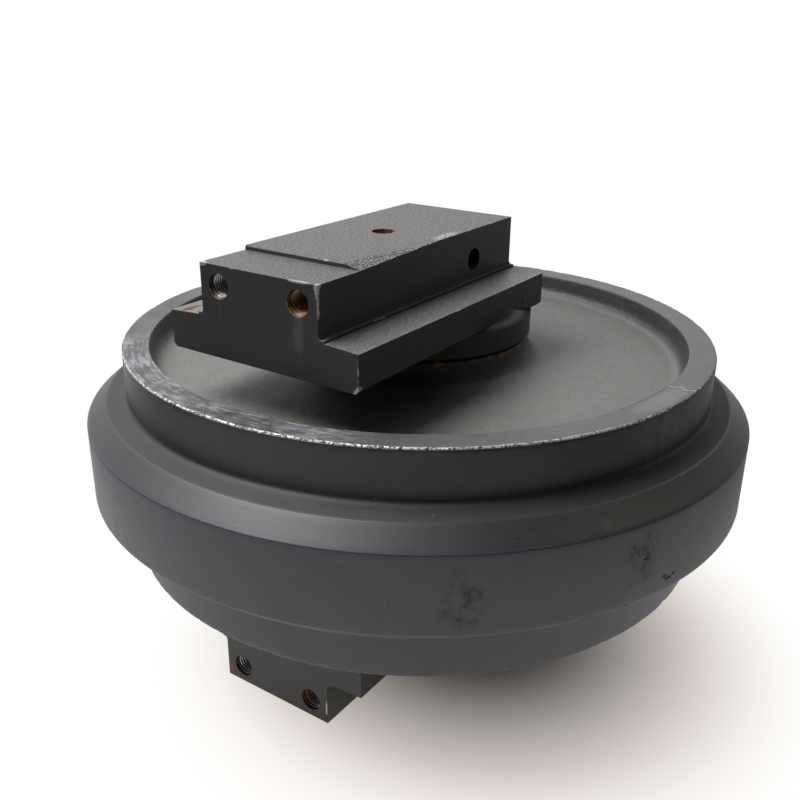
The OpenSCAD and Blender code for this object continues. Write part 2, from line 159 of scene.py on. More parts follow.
class Finish:
    """One node material. Its calls take and return sockets, or take plain numbers."""

    def __init__(self, name, roughness=0.5, metallic=0.0, specular=0.5):
        self.material = bpy.data.materials.new(name)
        self.material.use_nodes = True
        self.tree = self.material.node_tree
        self.tree.nodes.clear()
        self.shader = self.node("ShaderNodeBsdfPrincipled")
        self.output = self.node("ShaderNodeOutputMaterial").inputs["Surface"]
        self.feed(self.output, self.shader.outputs[0])
        self.shader.inputs["Roughness"].default_value = roughness
        self.shader.inputs["Metallic"].default_value = metallic
        self.shader.inputs["Specular IOR Level"].default_value = specular
        coordinates = self.node("ShaderNodeTexCoord")
        self.place = coordinates.outputs["Object"]
        self.x, self.y, self.z = self.split(self.place)
        self.facing = self.split(coordinates.outputs["Normal"])
        self.bump_chain = None

    def node(self, kind, **settings):
        made = self.tree.nodes.new(kind)
        for key, value in settings.items():
            setattr(made, key, value)
        return made

    def feed(self, socket, value):
        if isinstance(value, bpy.types.NodeSocket):
            self.tree.links.new(value, socket)
        else:
            socket.default_value = value

    def surface(self, name, value):
        self.feed(self.shader.inputs[name], value)

    def split(self, vector):
        made = self.node("ShaderNodeSeparateXYZ")
        self.feed(made.inputs[0], vector)
        return made.outputs

    def join(self, x, y, z):
        made = self.node("ShaderNodeCombineXYZ")
        for socket, value in zip(made.inputs, (x, y, z)):
            self.feed(socket, value)
        return made.outputs[0]

    def math(self, operation, *values):
        made = self.node("ShaderNodeMath", operation=operation)
        for socket, value in zip(made.inputs, values):
            self.feed(socket, value)
        return made.outputs[0]

    def product(self, *values):
        result = values[0]
        for value in values[1:]:
            result = self.math("MULTIPLY", result, value)
        return result

    def sum(self, *values):
        result = values[0]
        for value in values[1:]:
            result = self.math("ADD", result, value)
        return result

    def most(self, *values):
        result = values[0]
        for value in values[1:]:
            result = self.math("MAXIMUM", result, value)
        return result

    def rest(self, value):
        """What is left of 1."""
        return self.math("SUBTRACT", 1.0, value)

    def ramp(self, value, low, high):
        """0 at low and 1 at high, smoothly between; low may be above high."""
        made = self.node("ShaderNodeMapRange", interpolation_type="SMOOTHSTEP")
        made.clamp = True
        ends = (low, high, 0.0, 1.0) if low < high else (high, low, 1.0, 0.0)
        for socket, number in zip(list(made.inputs)[1:5], ends):
            socket.default_value = number
        self.feed(made.inputs[0], value)
        return made.outputs[0]

    def within(self, value, low, high, soft):
        """1 between low and high, falling to 0 over soft on both sides."""
        return self.product(self.ramp(value, low - soft, low), self.ramp(value, high + soft, high))

    def noise(self, scale, detail=4.0, roughness=0.55, place=None):
        made = self.node("ShaderNodeTexNoise")
        self.feed(made.inputs["Vector"], place or self.place)
        made.inputs["Scale"].default_value = scale
        made.inputs["Detail"].default_value = detail
        made.inputs["Roughness"].default_value = roughness
        return made.outputs["Fac"]

    def specks(self, scale, radius, share):
        """1 in small round specks: about the given share of the cells of a grid has one."""
        made = self.node("ShaderNodeTexVoronoi")
        self.feed(made.inputs["Vector"], self.place)
        made.inputs["Scale"].default_value = scale
        chosen = self.math("LESS_THAN", self.split(made.outputs["Color"])[0], share)
        return self.product(chosen, self.ramp(made.outputs["Distance"], radius, radius * 0.5))

    def attribute(self, name):
        return self.node("ShaderNodeAttribute", attribute_name=name).outputs["Fac"]

    def mix(self, factor, a, b):
        made = self.node("ShaderNodeMix", data_type="RGBA")
        self.feed(made.inputs["Factor"], factor)
        for socket, value in zip((made.inputs[6], made.inputs[7]), (a, b)):
            self.feed(socket, (*value, 1.0) if isinstance(value, tuple) else value)
        return made.outputs[2]

    def mix_shader(self, factor, a, b):
        made = self.node("ShaderNodeMixShader")
        for socket, value in zip(made.inputs, (factor, a, b)):
            self.feed(socket, value)
        return made.outputs[0]

    def blend(self, factor, a, b):
        """A number that goes from a to b with the factor."""
        made = self.node("ShaderNodeMix", data_type="FLOAT")
        for socket, value in zip(list(made.inputs)[:1] + list(made.inputs)[2:4], (factor, a, b)):
            self.feed(socket, value)
        return made.outputs[0]

    def bump(self, height, distance, strength):
        made = self.node("ShaderNodeBump")
        self.feed(made.inputs["Height"], height)
        self.feed(made.inputs["Strength"], strength)
        made.inputs["Distance"].default_value = distance
        if self.bump_chain is not None:
            self.feed(made.inputs["Normal"], self.bump_chain)
        self.bump_chain = made.outputs[0]
        self.surface("Normal", self.bump_chain)

    def polar(self):
        """Radius and angle about the wheel's axle."""
        radius = self.math("SQRT", self.sum(self.product(self.x, self.x), self.product(self.y, self.y)))
        return radius, self.math("ARCTAN2", self.y, self.x)

    def distance(self, place):
        """Level distance from a place."""
        away = [self.math("SUBTRACT", value, middle) for value, middle in zip((self.x, self.y), place)]
        return self.math("SQRT", self.sum(*(self.product(a, a) for a in away)))

    def spot(self, across, along, centre, half, ragged, grain):
        """1 inside an ellipse in two coordinates of the surface, with an edge that a grain makes ragged."""
        pairs = zip((across, along), centre, half)
        offsets = [self.math("DIVIDE", self.math("SUBTRACT", value, c), h) for value, c, h in pairs]
        distance = self.math("SQRT", self.sum(*(self.product(o, o) for o in offsets)))
        unevenness = self.math("MULTIPLY", self.math("SUBTRACT", grain, 0.5), ragged)
        return self.ramp(self.sum(distance, unevenness), 1.1, 0.6)


PAINT = (0.0135, 0.0140, 0.0152)
PAINT_WORN = (0.022, 0.0225, 0.0242)
# Matt paint of the guide band, also laid below the shoulder as painted light from the floor
PAINT_MATT_AND_LIT_BELOW = (0.039, 0.044, 0.055)
PAINT_BEVEL = (0.023, 0.025, 0.029)
SCUFFED = (0.062, 0.064, 0.068)
DUST = (0.176, 0.174, 0.165)
OLIVE_DUST = (0.150, 0.138, 0.104)
SAND = (0.34, 0.335, 0.32)
RUBBED = (0.088, 0.090, 0.095)
FILM = (0.070, 0.062, 0.052)
GROUND = (0.165, 0.168, 0.175)
SCRAPED = (0.40, 0.415, 0.44)
STEEL = (0.62, 0.62, 0.61)
SOOT = (0.008, 0.008, 0.008)
SMEARED = (0.016, 0.017, 0.019)
DARK_SPECK = (0.006, 0.006, 0.006)
PALE_SPECK = (0.32, 0.32, 0.31)
HAZE = 0.05
RUST = (0.42, 0.135, 0.036)
RUST_DARK = (0.085, 0.036, 0.018)
RUST_CRUST = (0.55, 0.27, 0.09)
THREAD_ROOT = (0.018, 0.016, 0.014)
RED_PAINT = (0.42, 0.07, 0.05)
RUBBER = (0.010, 0.010, 0.010)
RUBBER_WORN = (0.022, 0.022, 0.022)
FLOOR = (0.76, 0.735, 0.70)
FLOOR_DULL = (0.72, 0.695, 0.66)
WARM_WHITE = (1.0, 0.93, 0.84)
WHITE = (1.0, 1.0, 1.0)

# Bare metals: light and dark colour, roughness, and how metallic they are
METALS = {
    "axle_steel": ((0.66, 0.66, 0.66), (0.48, 0.48, 0.49), 0.28, 1.0),
    "bush_bronze": ((0.72, 0.52, 0.28), (0.55, 0.38, 0.19), 0.32, 1.0),
    "seal_iron": ((0.46, 0.46, 0.47), (0.32, 0.32, 0.33), 0.35, 1.0),
    "pin_steel": ((0.060, 0.058, 0.055), (0.025, 0.024, 0.023), 0.5, 0.4),
}
MARK_SCALE = 260
MARK_STRETCH = (1.0, 1.0, 0.08)

# Marks on the guide band and below it: angle in degrees, height in mm, and half their width and height
SMEARS = ((39.5, -4, 3.4, 27), (66, 1, 3.0, 25))
SCUFFS = (
    (19.5, -24.5, 0.6, 1.4), (24, 20, 0.6, 1.6), (66, 4, 0.5, 1.8), (60, 31, 0.9, 3.0), (81, 8, 0.8, 3.5),
)
CHIPS = (
    (71.3, -16, 0.5, 1.3), (72.2, -18.5, 0.8, 1.2), (73.2, -17, 0.4, 1.0), (57.5, -26.5, 1.3, 0.7),
    (64, -26.5, 0.5, 0.9), (58, -45, 0.6, 1.5), (67, 3, 0.7, 1.1),
)


def wheel_paint():
    f = Finish("wheel_paint", specular=0.75)
    radius, angle = f.polar()
    level = f.math("ABSOLUTE", f.z)
    along = f.math("MULTIPLY", angle, TREAD_R)
    fine = f.noise(900, 3)
    medium = f.noise(120, 5, 0.6)
    broad = f.noise(16, 3)
    up = f.ramp(f.facing[2], 0.35, 0.9)
    web = f.product(
        f.within(radius, HUB_R + 2 * MM, LAND_R - 1 * MM, 3 * MM),
        f.ramp(level, WEB_Z - 8 * MM, WEB_Z - 2 * MM))
    land = f.product(
        f.within(radius, LAND_R, TREAD_R - 1 * MM, 0.5 * MM),
        f.ramp(level, RIM_Z - 1.2 * MM, RIM_Z - 0.4 * MM))
    guide = f.ramp(radius, BEVEL_R - 2 * MM, BEVEL_R + 2 * MM)

    # Paint, thin in places, with dust where it faces up
    colour = f.mix(f.ramp(broad, 0.35, 0.7), PAINT, PAINT_WORN)
    # The guide band takes its own matt paint; below the shoulder the same lighter paint is painted light,
    # standing in for the light the underside gets from the floor.
    matt_band_and_lit_underside = f.most(guide, f.ramp(f.z, -SHOULDER_Z + 4 * MM, -SHOULDER_Z))
    band = f.ramp(radius, GUIDE_R - 2 * MM, GUIDE_R - 1 * MM)
    band_and_underside_paint = f.mix(f.most(band, f.ramp(f.z, 0.0, -SHOULDER_Z)), PAINT_BEVEL, PAINT_MATT_AND_LIT_BELOW)
    colour = f.mix(f.product(matt_band_and_lit_underside, f.blend(broad, 0.7, 1.0)), colour, band_and_underside_paint)
    # Olive dust on the right of the bevel, laid on there also as painted light that lightens that side.
    bevel_face = f.within(radius, BEVEL_R, GUIDE_R - 2 * MM, 1 * MM)
    right_side = f.within(angle, 65 * DEG, 130 * DEG, 20 * DEG)
    right_bevel_dust_and_light = f.product(bevel_face, right_side, f.ramp(f.z, 0.0, GUIDE_HALF))
    colour = f.mix(f.product(right_bevel_dust_and_light, 0.25), colour, OLIVE_DUST)
    level_web = f.product(web, f.ramp(f.facing[2], 0.65, 1.0))
    settled = f.most(f.product(up, f.ramp(radius, TREAD_R, TREAD_R - 2 * MM), 0.1), level_web)
    colour = f.mix(f.product(settled, f.blend(medium, 0.7, 1.0)), colour, DUST)
    colour = f.mix(f.product(level_web, f.ramp(f.noise(480, 5, 0.75), 0.50, 0.68), 0.55), colour, OLIVE_DUST)
    sand = f.noise(480, 4, 0.85)
    pits = f.most(f.ramp(f.noise(300, 4, 0.7), 0.42, 0.28), f.ramp(sand, 0.50, 0.30))
    colour = f.mix(f.product(level_web, pits, 0.65), colour, PAINT_WORN)
    colour = f.mix(f.product(level_web, f.ramp(sand, 0.58, 0.72), 0.7), colour, SAND)

    # Smears, scuffs and chips on the guide band
    grain = f.noise(420, 5, 0.75)

    def marks(places, ragged):
        found = 0.0
        for turn, height, half_turn, half_height in places:
            centre = (turn * DEG, height * MM)
            half = (half_turn * DEG, half_height * MM)
            found = f.most(found, f.spot(angle, f.z, centre, half, ragged, grain))
        return found

    blotch = f.product(f.ramp(f.noise(150, 5, 0.75), 0.40, 0.70), f.ramp(f.noise(60, 3), 0.35, 0.60))
    smear = f.product(marks(SMEARS, 1.6), guide, blotch)
    scuff = f.product(marks(SCUFFS, 1.6), guide)
    chip_out = marks(CHIPS, 1.3)
    colour = f.mix(f.product(smear, 0.45), colour, SMEARED)
    colour = f.mix(f.product(scuff, 0.6), colour, SCUFFED)
    colour = f.mix(f.product(chip_out, 0.85), colour, SOOT)

    # Land: rubbed with soft smudges, and scraped in streaks at the front
    sheared = f.sum(along, f.math("MULTIPLY", radius, 0.9))
    drawn_out = f.join(f.math("MULTIPLY", sheared, 55), f.math("MULTIPLY", radius, 430), f.z)
    streak = f.noise(1.0, 6, 0.7, drawn_out)
    scraped = f.product(f.within(angle, -38 * DEG, 14 * DEG, 16 * DEG), f.ramp(f.noise(38, 3), 0.30, 0.50))
    smudge = f.ramp(f.noise(70, 6, 0.66), 0.34, 0.60)
    left_side = f.within(angle, -100 * DEG, 10 * DEG, 15 * DEG)
    rubbed = f.product(land, f.blend(smudge, f.blend(left_side, 0.65, 0.1), f.blend(left_side, 1.0, 0.75)))
    colour = f.mix(rubbed, colour, f.mix(f.product(scraped, f.ramp(streak, 0.43, 0.56)), RUBBED, SCRAPED))

    # Patch ground back beside the weld build-up, with a crack at its end
    ground = f.product(land, f.spot(angle, radius, (81 * DEG, 210 * MM), (10 * DEG, 8 * MM), 0.8, grain))
    colour = f.mix(f.product(ground, f.blend(streak, 0.2, 1.0)), colour, GROUND)
    wave = f.math("SINE", f.math("MULTIPLY", radius, CRACK_WAVES))
    crack_turn = f.sum(angle, f.math("MULTIPLY", wave, -CRACK_SWING))
    beside_crack = f.math("SUBTRACT", crack_turn, BUILD_UP[2])
    lip = f.product(land, f.within(beside_crack, 0.15 * DEG, 0.35 * DEG, 0.12 * DEG))
    colour = f.mix(f.product(lip, 0.8), colour, SCRAPED)
    colour = f.mix(f.product(land, f.within(beside_crack, -0.12 * DEG, 0.08 * DEG, 0.08 * DEG)), colour, SOOT)

    # Film of dirt in streaks on the tread, and a paint run below the crack
    tread = f.product(
        f.ramp(radius, TREAD_R - 0.5 * MM, TREAD_R - 0.1 * MM),
        f.ramp(radius, TREAD_R + 3 * MM, TREAD_R + 1 * MM))
    streaks = f.noise(1.0, 4, 0.65, f.join(f.math("MULTIPLY", along, 160), f.math("MULTIPLY", f.z, 18), 0.0))
    film = f.product(tread, f.within(angle, 76 * DEG, 125 * DEG, 10 * DEG), f.ramp(streaks, 0.40, 0.66))
    film = f.product(film, f.ramp(f.z, 0.0, SHOULDER_Z))
    colour = f.mix(f.product(film, 0.75), colour, FILM)
    run = f.spot(angle, f.z, (88.2 * DEG, 71 * MM), (0.5 * DEG, 5 * MM), 0.6, grain)
    colour = f.mix(f.product(run, 0.9), colour, SOOT)
    run_edge = f.spot(angle, f.z, (89.2 * DEG, 64 * MM), (0.25 * DEG, 9 * MM), 0.5, grain)
    colour = f.mix(f.product(run_edge, 0.6), colour, SCUFFED)

    # Bare metal along the rim's edge, most of all at the front of the upper rim
    chip = f.noise(560, 5, 0.75)
    rim_edge = f.product(
        f.within(radius, TREAD_R - 1.1 * MM, TREAD_R + 1 * MM, 0.4 * MM),
        f.within(level, RIM_Z - 1.3 * MM, RIM_Z + 1 * MM, 0.4 * MM))
    hard_worn = f.product(f.within(angle, -25 * DEG, 60 * DEG, 30 * DEG), f.ramp(f.z, 0.0, RIM_Z))
    bare = f.product(rim_edge, f.ramp(f.sum(chip, f.product(hard_worn, 0.13)), 0.56, 0.64))
    # A lighter line along the lower edge of the guide band: worn paint, and a painted highlight on that edge.
    guide_edge_wear_and_highlight = f.product(
        f.within(radius, GUIDE_R - 1.2 * MM, GUIDE_R + 1 * MM, 0.3 * MM),
        f.within(f.z, -GUIDE_HALF - 1.2 * MM, -GUIDE_HALF + 0.6 * MM, 0.3 * MM))
    colour = f.mix(f.product(guide_edge_wear_and_highlight, f.ramp(chip, 0.35, 0.6), 0.5), colour, SCUFFED)
    colour = f.mix(bare, colour, STEEL)

    # Rust that bleeds from under the hub's edge, and specks of dirt
    hub_edge = f.product(
        f.within(radius, HUB_R - 3 * MM, HUB_R + 2 * MM, 1 * MM),
        f.ramp(level, HUB_Z - 4 * MM, HUB_Z - 2 * MM))
    rust = f.product(hub_edge, f.ramp(f.noise(75, 4, 0.6), 0.54, 0.62))
    rust = f.most(rust, f.product(web, up, f.specks(40, 0.06, 0.05)))
    colour = f.mix(rust, colour, RUST)
    colour = f.mix(f.product(web, f.specks(75, 0.10, 0.08)), colour, DARK_SPECK)
    colour = f.mix(f.product(f.specks(190, 0.075, 0.16), 0.7), colour, PALE_SPECK)

    f.surface("Base Color", colour)
    wall = f.product(
        f.within(radius, DISH_R - 6 * MM, LAND_R + 1 * MM, 2 * MM),
        f.within(level, WEB_Z, RIM_Z - 2 * MM, 1 * MM))
    roughness = f.blend(medium, 0.37, 0.47)
    roughness = f.blend(bevel_face, roughness, 0.50)
    shoulder = f.product(f.within(radius, TREAD_R + 1 * MM, BEVEL_R - 2 * MM, 2 * MM), up)
    roughness = f.blend(shoulder, roughness, 0.70)
    roughness = f.blend(web, roughness, 0.50)
    roughness = f.blend(wall, roughness, 0.40)
    roughness = f.blend(rubbed, roughness, f.blend(streak, 0.34, 0.52))
    roughness = f.blend(f.most(smear, rust, chip_out), roughness, 0.75)
    f.surface("Roughness", roughness)
    f.surface("Metallic", f.most(f.product(rubbed, f.blend(scraped, 0.15, 0.4)), f.product(bare, 0.85)))
    f.bump(f.product(f.noise(260, 6, 0.7), f.most(web, wall)), 1.0 * MM, 0.9)
    f.bump(f.product(bare, f.noise(1100, 2)), 0.8 * MM, 0.9)
    f.bump(f.rest(chip_out), 0.8 * MM, 0.8)
    f.bump(fine, 0.12 * MM, 0.5)
    return f.material


# Chips on the edges of the front faces: across, up, and half their width and height
PAD_Z = TOP_Z - PAD_DROP
FRONT_CHIPS = (
    (-NECK_Y + 2 * MM, PAD_Z, 4 * MM, 2.5 * MM),
    (NECK_Y - 14 * MM, PAD_Z, 8 * MM, 1.2 * MM),
    (NECK_Y, PAD_Z - 2 * MM, 3 * MM, 6 * MM),
    (NECK_Y, PAD_Z - 13 * MM, 0.4 * MM, 7 * MM),
    (LEDGE_Y, LEDGE_Z + 1 * MM, 4 * MM, 4 * MM),
    (NECK_Y - 1 * MM, -144 * MM, 0.9 * MM, 7 * MM),
)


def bracket_paint():
    f = Finish("bracket_paint")
    fine = f.noise(900, 3)
    medium = f.noise(130, 5, 0.6)
    broad = f.noise(18, 3)
    grain = f.noise(300, 5, 0.72)
    edge = f.attribute("edge_distance")
    up = f.ramp(f.facing[2], 0.4, 0.9)
    side = f.ramp(f.math("ABSOLUTE", f.facing[1]), 0.8, 0.95)
    upper = f.math("GREATER_THAN", f.z, 0.0)
    front = f.ramp(f.x, FRONT_X - 1.5 * MM, FRONT_X - 0.5 * MM)
    top = f.product(up, f.ramp(f.z, TOP_Z - 8 * MM, TOP_Z - 5 * MM))

    # Paint with dust on what faces up, from the ledge to the machined top
    colour = f.mix(f.ramp(broad, 0.35, 0.7), PAINT, PAINT_WORN)
    colour = f.mix(HAZE, colour, DUST)
    level = f.ramp(f.facing[2], 0.8, 0.97)
    exposed = f.product(level, f.ramp(f.z, LEDGE_Z + 4 * MM, LEDGE_Z + 8 * MM))
    sand = f.noise(620, 4, 0.85)
    colour = f.mix(f.product(exposed, f.blend(medium, 0.7, 1.0), f.blend(top, 1.0, 0.5)), colour, DUST)
    colour = f.mix(f.product(exposed, f.ramp(sand, 0.50, 0.40), 0.7), colour, PAINT)
    colour = f.mix(f.product(exposed, f.ramp(sand, 0.54, 0.66), f.blend(top, 0.3, 0.6)), colour, SAND)

    # Worn bevel beside the pad, rubbed bright where it runs out
    line = f.sum(f.y, f.math("MULTIPLY", f.x, (NECK_Y - WORN_Y) / WORN_RUN))
    border = WORN_Y + PAD_X * (NECK_Y - WORN_Y) / WORN_RUN
    worn = f.product(
        top,
        f.ramp(line, border - 1 * MM, border + 1 * MM),
        f.ramp(f.x, PAD_X + 1 * MM, PAD_X - 1 * MM))
    flecks = f.ramp(f.noise(620, 3, 0.7), 0.50, 0.64)
    colour = f.mix(f.product(worn, 0.6), colour, PAINT_WORN)
    colour = f.mix(f.product(worn, flecks, 0.7), colour, SCRAPED)
    run_out = f.spot(f.x, f.y, (32 * MM, 43 * MM), (17 * MM, 5 * MM), 1.0, grain)
    rubbed = f.product(top, run_out, f.ramp(f.noise(420, 4, 0.7), 0.46, 0.58))

    # Chips along the edges: scattered ones, and those that show at the front
    where = f.noise(30, 3, 0.6)
    far_end = f.product(top, f.ramp(f.x, BACK_X + 25 * MM, BACK_X), 0.12)
    ragged = f.math("SUBTRACT", edge, f.product(f.math("SUBTRACT", grain, 0.52), 6 * MM))
    bare = f.product(f.ramp(ragged, 0.8 * MM, 0.3 * MM), f.ramp(f.sum(where, far_end), 0.62, 0.70))
    near_front = f.product(
        f.ramp(f.x, FRONT_X - 5 * MM, FRONT_X - 2 * MM),
        f.ramp(ragged, 2.4 * MM, 1.2 * MM))
    for y, z, half_y, half_z in FRONT_CHIPS:
        mark = f.spot(f.y, f.z, (y, z), (half_y, half_z), 2.0, grain)
        bare = f.most(bare, f.product(mark, near_front))
    bare = f.most(bare, rubbed)
    colour = f.mix(f.product(bare, 0.85), colour, STEEL)

    # Bead of dirt along the foot of the neck, and what has run down the front face
    foot = f.product(
        f.within(f.math("ABSOLUTE", f.y), NECK_Y - 0.5 * MM, NECK_Y + 4.5 * MM, 0.5 * MM),
        f.within(f.z, LEDGE_TOP_Z, LEDGE_TOP_Z + 3 * MM, 0.5 * MM))
    colour = f.mix(f.product(foot, f.ramp(grain, 0.52, 0.66), 0.4), colour, OLIVE_DUST)
    drip = f.product(f.spot(f.y, f.z, (BOLT_Y, 126 * MM), (4.5 * MM, 15 * MM), 0.8, f.noise(90, 4)), 0.22)
    thin_drip = f.product(f.spot(f.y, f.z, (-BOLT_Y, 130 * MM), (1.2 * MM, 9 * MM), 0.6, grain), 0.15)
    colour = f.mix(f.product(front, f.most(drip, thin_drip)), colour, OLIVE_DUST)

    # Red paint smeared on the lower front face
    smear = f.spot(f.y, f.z, (-NECK_Y + 2.5 * MM, -151 * MM), (2.2 * MM, 4.5 * MM), 1.2, grain)
    colour = f.mix(f.product(front, smear, 0.6), colour, RED_PAINT)

    # Rust in and round the holes, and a spot on the ledge
    hole_y = f.math("SUBTRACT", f.math("ABSOLUTE", f.y), BOLT_Y)
    hole_z = f.math("SUBTRACT", f.math("ABSOLUTE", f.z), BOLT_Z)
    hole = f.math("SQRT", f.sum(f.product(hole_y, hole_y), f.product(hole_z, hole_z)))
    diagonal = f.sum(f.math("SUBTRACT", f.y, BOLT_Y), f.math("SUBTRACT", f.z, BOLT_Z))
    low_side = f.ramp(diagonal, 3 * MM, -7 * MM)
    rusty_one = f.blend(f.product(upper, f.ramp(f.y, 0.0, 5 * MM)), 0.35, low_side)
    mouth = f.product(
        f.ramp(hole, BOLT_R + 1.0 * MM, BOLT_R),
        f.ramp(f.x, FRONT_X - 50 * MM, FRONT_X - 45 * MM))
    rust = f.product(mouth, rusty_one, f.ramp(grain, 0.38, 0.56))
    plug_offset = f.math("SUBTRACT", f.x, PLUG_X)
    plug_hole = f.math("SQRT", f.sum(f.product(plug_offset, plug_offset), f.product(f.y, f.y)))
    rust = f.most(rust, f.product(f.ramp(plug_hole, HOLE_R + 0.8 * MM, HOLE_R), f.ramp(grain, 0.42, 0.6)))
    spot = f.spot(f.x, f.y, (168 * MM, -66 * MM), (9 * MM, 4 * MM), 1.4, grain)
    rust = f.most(rust, f.product(spot, up, f.ramp(f.z, LEDGE_TOP_Z + 6 * MM, LEDGE_TOP_Z + 3 * MM)))
    boss_rim = f.within(f.math("ABSOLUTE", f.z), 79 * MM, 83 * MM, 0.5 * MM)
    rust = f.most(rust, f.product(boss_rim, f.ramp(f.noise(75, 4, 0.6), 0.55, 0.63)))
    colour = f.mix(rust, colour, f.mix(f.ramp(grain, 0.45, 0.7), RUST_DARK, RUST))

    # Specks of dirt
    colour = f.mix(f.product(f.specks(110, 0.055, 0.10), 0.6), colour, PALE_SPECK)
    f.surface("Base Color", colour)
    roughness = f.blend(medium, 0.38, 0.48)
    roughness = f.blend(f.product(exposed, f.ramp(sand, 0.52, 0.42)), roughness, 0.54)
    roughness = f.blend(foot, f.blend(bare, roughness, 0.35), 0.75)
    f.surface("Roughness", f.blend(rust, roughness, 0.85))
    f.surface("Metallic", f.product(bare, 0.7))

    # Cast grain on the top, and the striped skin of a flame cut on the ledge's sides
    f.bump(f.noise(420, 5, 0.66), 0.5 * MM, f.blend(top, 0.35, 0.9))
    stripes = f.noise(1.0, 4, 0.6, f.join(f.math("MULTIPLY", f.x, 520), f.y, f.math("MULTIPLY", f.z, 60)))
    cut_face = f.product(
        side,
        f.ramp(f.x, 75 * MM, 45 * MM),
        f.ramp(f.math("ABSOLUTE", f.y), LEDGE_Y - 4 * MM, LEDGE_Y - 2 * MM))
    f.bump(f.product(stripes, cut_face), 1.6 * MM, 0.9)
    f.bump(f.product(worn, f.noise(620, 3, 0.7)), 0.8 * MM, 0.8)
    f.bump(fine, 0.12 * MM, 0.5)
    return f.material


def plain_metal(name, light, dark, roughness, metallic):
    """Turned or ground metal, with fine marks drawn out along the axle."""
    f = Finish(name, metallic=metallic)
    place = f.join(*(f.math("MULTIPLY", c, s) for c, s in zip((f.x, f.y, f.z), MARK_STRETCH)))
    marks = f.noise(MARK_SCALE, 4, 0.6, place)
    f.surface("Base Color", f.mix(f.blend(0.5, marks, f.noise(40)), dark, light))
    f.surface("Roughness", f.blend(marks, roughness * 0.8, roughness * 1.2))
    f.bump(marks, 0.05 * MM, 0.4)
    return f.material


def rusty_steel(name, dark, light):
    """Steel whose rust goes from a dark skin to a light crust."""
    f = Finish(name)
    crust = f.noise(700, 4, 0.6)
    colour = f.mix(f.ramp(f.noise(160, 5, 0.65), 0.35, 0.6), dark, light)
    f.surface("Base Color", f.mix(f.ramp(crust, 0.6, 0.8), colour, RUST_CRUST))
    f.surface("Roughness", f.blend(crust, 0.5, 0.85))
    f.bump(crust, 0.25 * MM, 0.7)
    return f.material


def thread_steel(name, rust):
    """Thread in a bolt hole: crests bright, roots dark, with a share of rust on its lower inner side."""
    f = Finish(name, roughness=0.38)
    across = f.math("SUBTRACT", f.math("ABSOLUTE", f.y), BOLT_Y)
    height = f.math("SUBTRACT", f.math("ABSOLUTE", f.z), BOLT_Z)
    reach = f.math("SQRT", f.sum(f.product(across, across), f.product(height, height)))
    crest = f.ramp(reach, BOLT_R - 0.35 * THREAD_DEPTH, BOLT_R - 0.85 * THREAD_DEPTH)
    patches = f.noise(240, 4, 0.65)
    low_side = f.ramp(f.sum(across, height), 6 * MM, -4 * MM)
    rusted = f.product(low_side, f.ramp(patches, 0.60 - rust * 0.3, 0.72 - rust * 0.3))
    colour = f.mix(crest, THREAD_ROOT, STEEL)
    f.surface("Base Color", f.mix(rusted, colour, f.mix(crest, RUST_DARK, RUST)))
    f.surface("Metallic", f.product(crest, f.rest(rusted), 0.7))
    f.bump(patches, 0.2 * MM, 0.5)
    return f.material


def rubber(name):
    f = Finish(name)
    f.surface("Base Color", f.mix(f.noise(300, 4), RUBBER, RUBBER_WORN))
    f.surface("Roughness", f.blend(f.noise(80, 3), 0.55, 0.75))
    f.bump(f.noise(900, 3), 0.05 * MM, 0.4)
    return f.material


def arc_corner(before, corner, after, radius, step):
    """Points of the arc that rounds a corner of a section."""
    a = (before - corner).normalized()
    b = (after - corner).normalized()
    half = a.angle(b) / 2
    reach = radius / math.tan(half)
    centre = corner + (a + b).normalized() * (radius / math.sin(half))
    start = corner + a * reach - centre
    turn = start.angle_signed(corner + b * reach - centre)
    count = max(3, math.ceil(abs(turn) * radius / step))
    return [centre + Matrix.Rotation(-turn * i / count, 2) @ start for i in range(count + 1)]


def section_line(corners):
    """Closed line through the corners of a section, rounded and split into steps."""
    points = [Vector(c[:2]) for c in corners]
    count = len(points)
    rounded = []
    for i, (corner, (_, _, rounding, _)) in enumerate(zip(points, corners)):
        if rounding:
            before, after = points[i - 1], points[(i + 1) % count]
            rounded.append(arc_corner(before, corner, after, rounding, ARC_STEP + rounding / 12))
        else:
            rounded.append([corner])
    line = []
    for i, bend in enumerate(rounded):
        start, end = bend[-1], rounded[(i + 1) % count][0]
        pieces = max(1, math.ceil((end - start).length / corners[i][3]))
        line += bend
        line += [start.lerp(end, k / pieces) for k in range(1, pieces)]
    return np.array([tuple(p) for p in line])


def add_piece(name, mesh, material, body):
    piece = bpy.data.objects.new(name, mesh)
    scene.collection.objects.link(piece)
    mesh.materials.append(material)
    mesh.shade_smooth()
    mesh.set_sharp_from_angle(angle=CREASE)
    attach(piece, body)
    return piece


def new_mesh(name, vertices, faces):
    mesh = bpy.data.meshes.new(name)
    mesh.from_pydata([tuple(v) for v in vertices], [], faces)
    mesh.update()
    return mesh


def ring_faces(rows, columns):
    """Quads of a closed section turned all the way round."""
    faces = []
    for i in range(rows):
        j = (i + 1) % rows
        for k in range(columns):
            m = (k + 1) % columns
            faces.append((i * columns + k, i * columns + m, j * columns + m, j * columns + k))
    return faces


CREASE = 40 * DEG
COLUMNS = 530
FINE = 1.8 * MM
WEB_STEP = 3.2 * MM
COARSE = 12 * MM
ARC_STEP = 0.6 * MM
TINY = 1e-5
CAST_UNEVEN = 0.22 * MM
CAST_SIZE = 22 * MM
RIM_DENT = 0.5 * MM
DENT_SIZE = 5 * MM
OCTAVES = 3

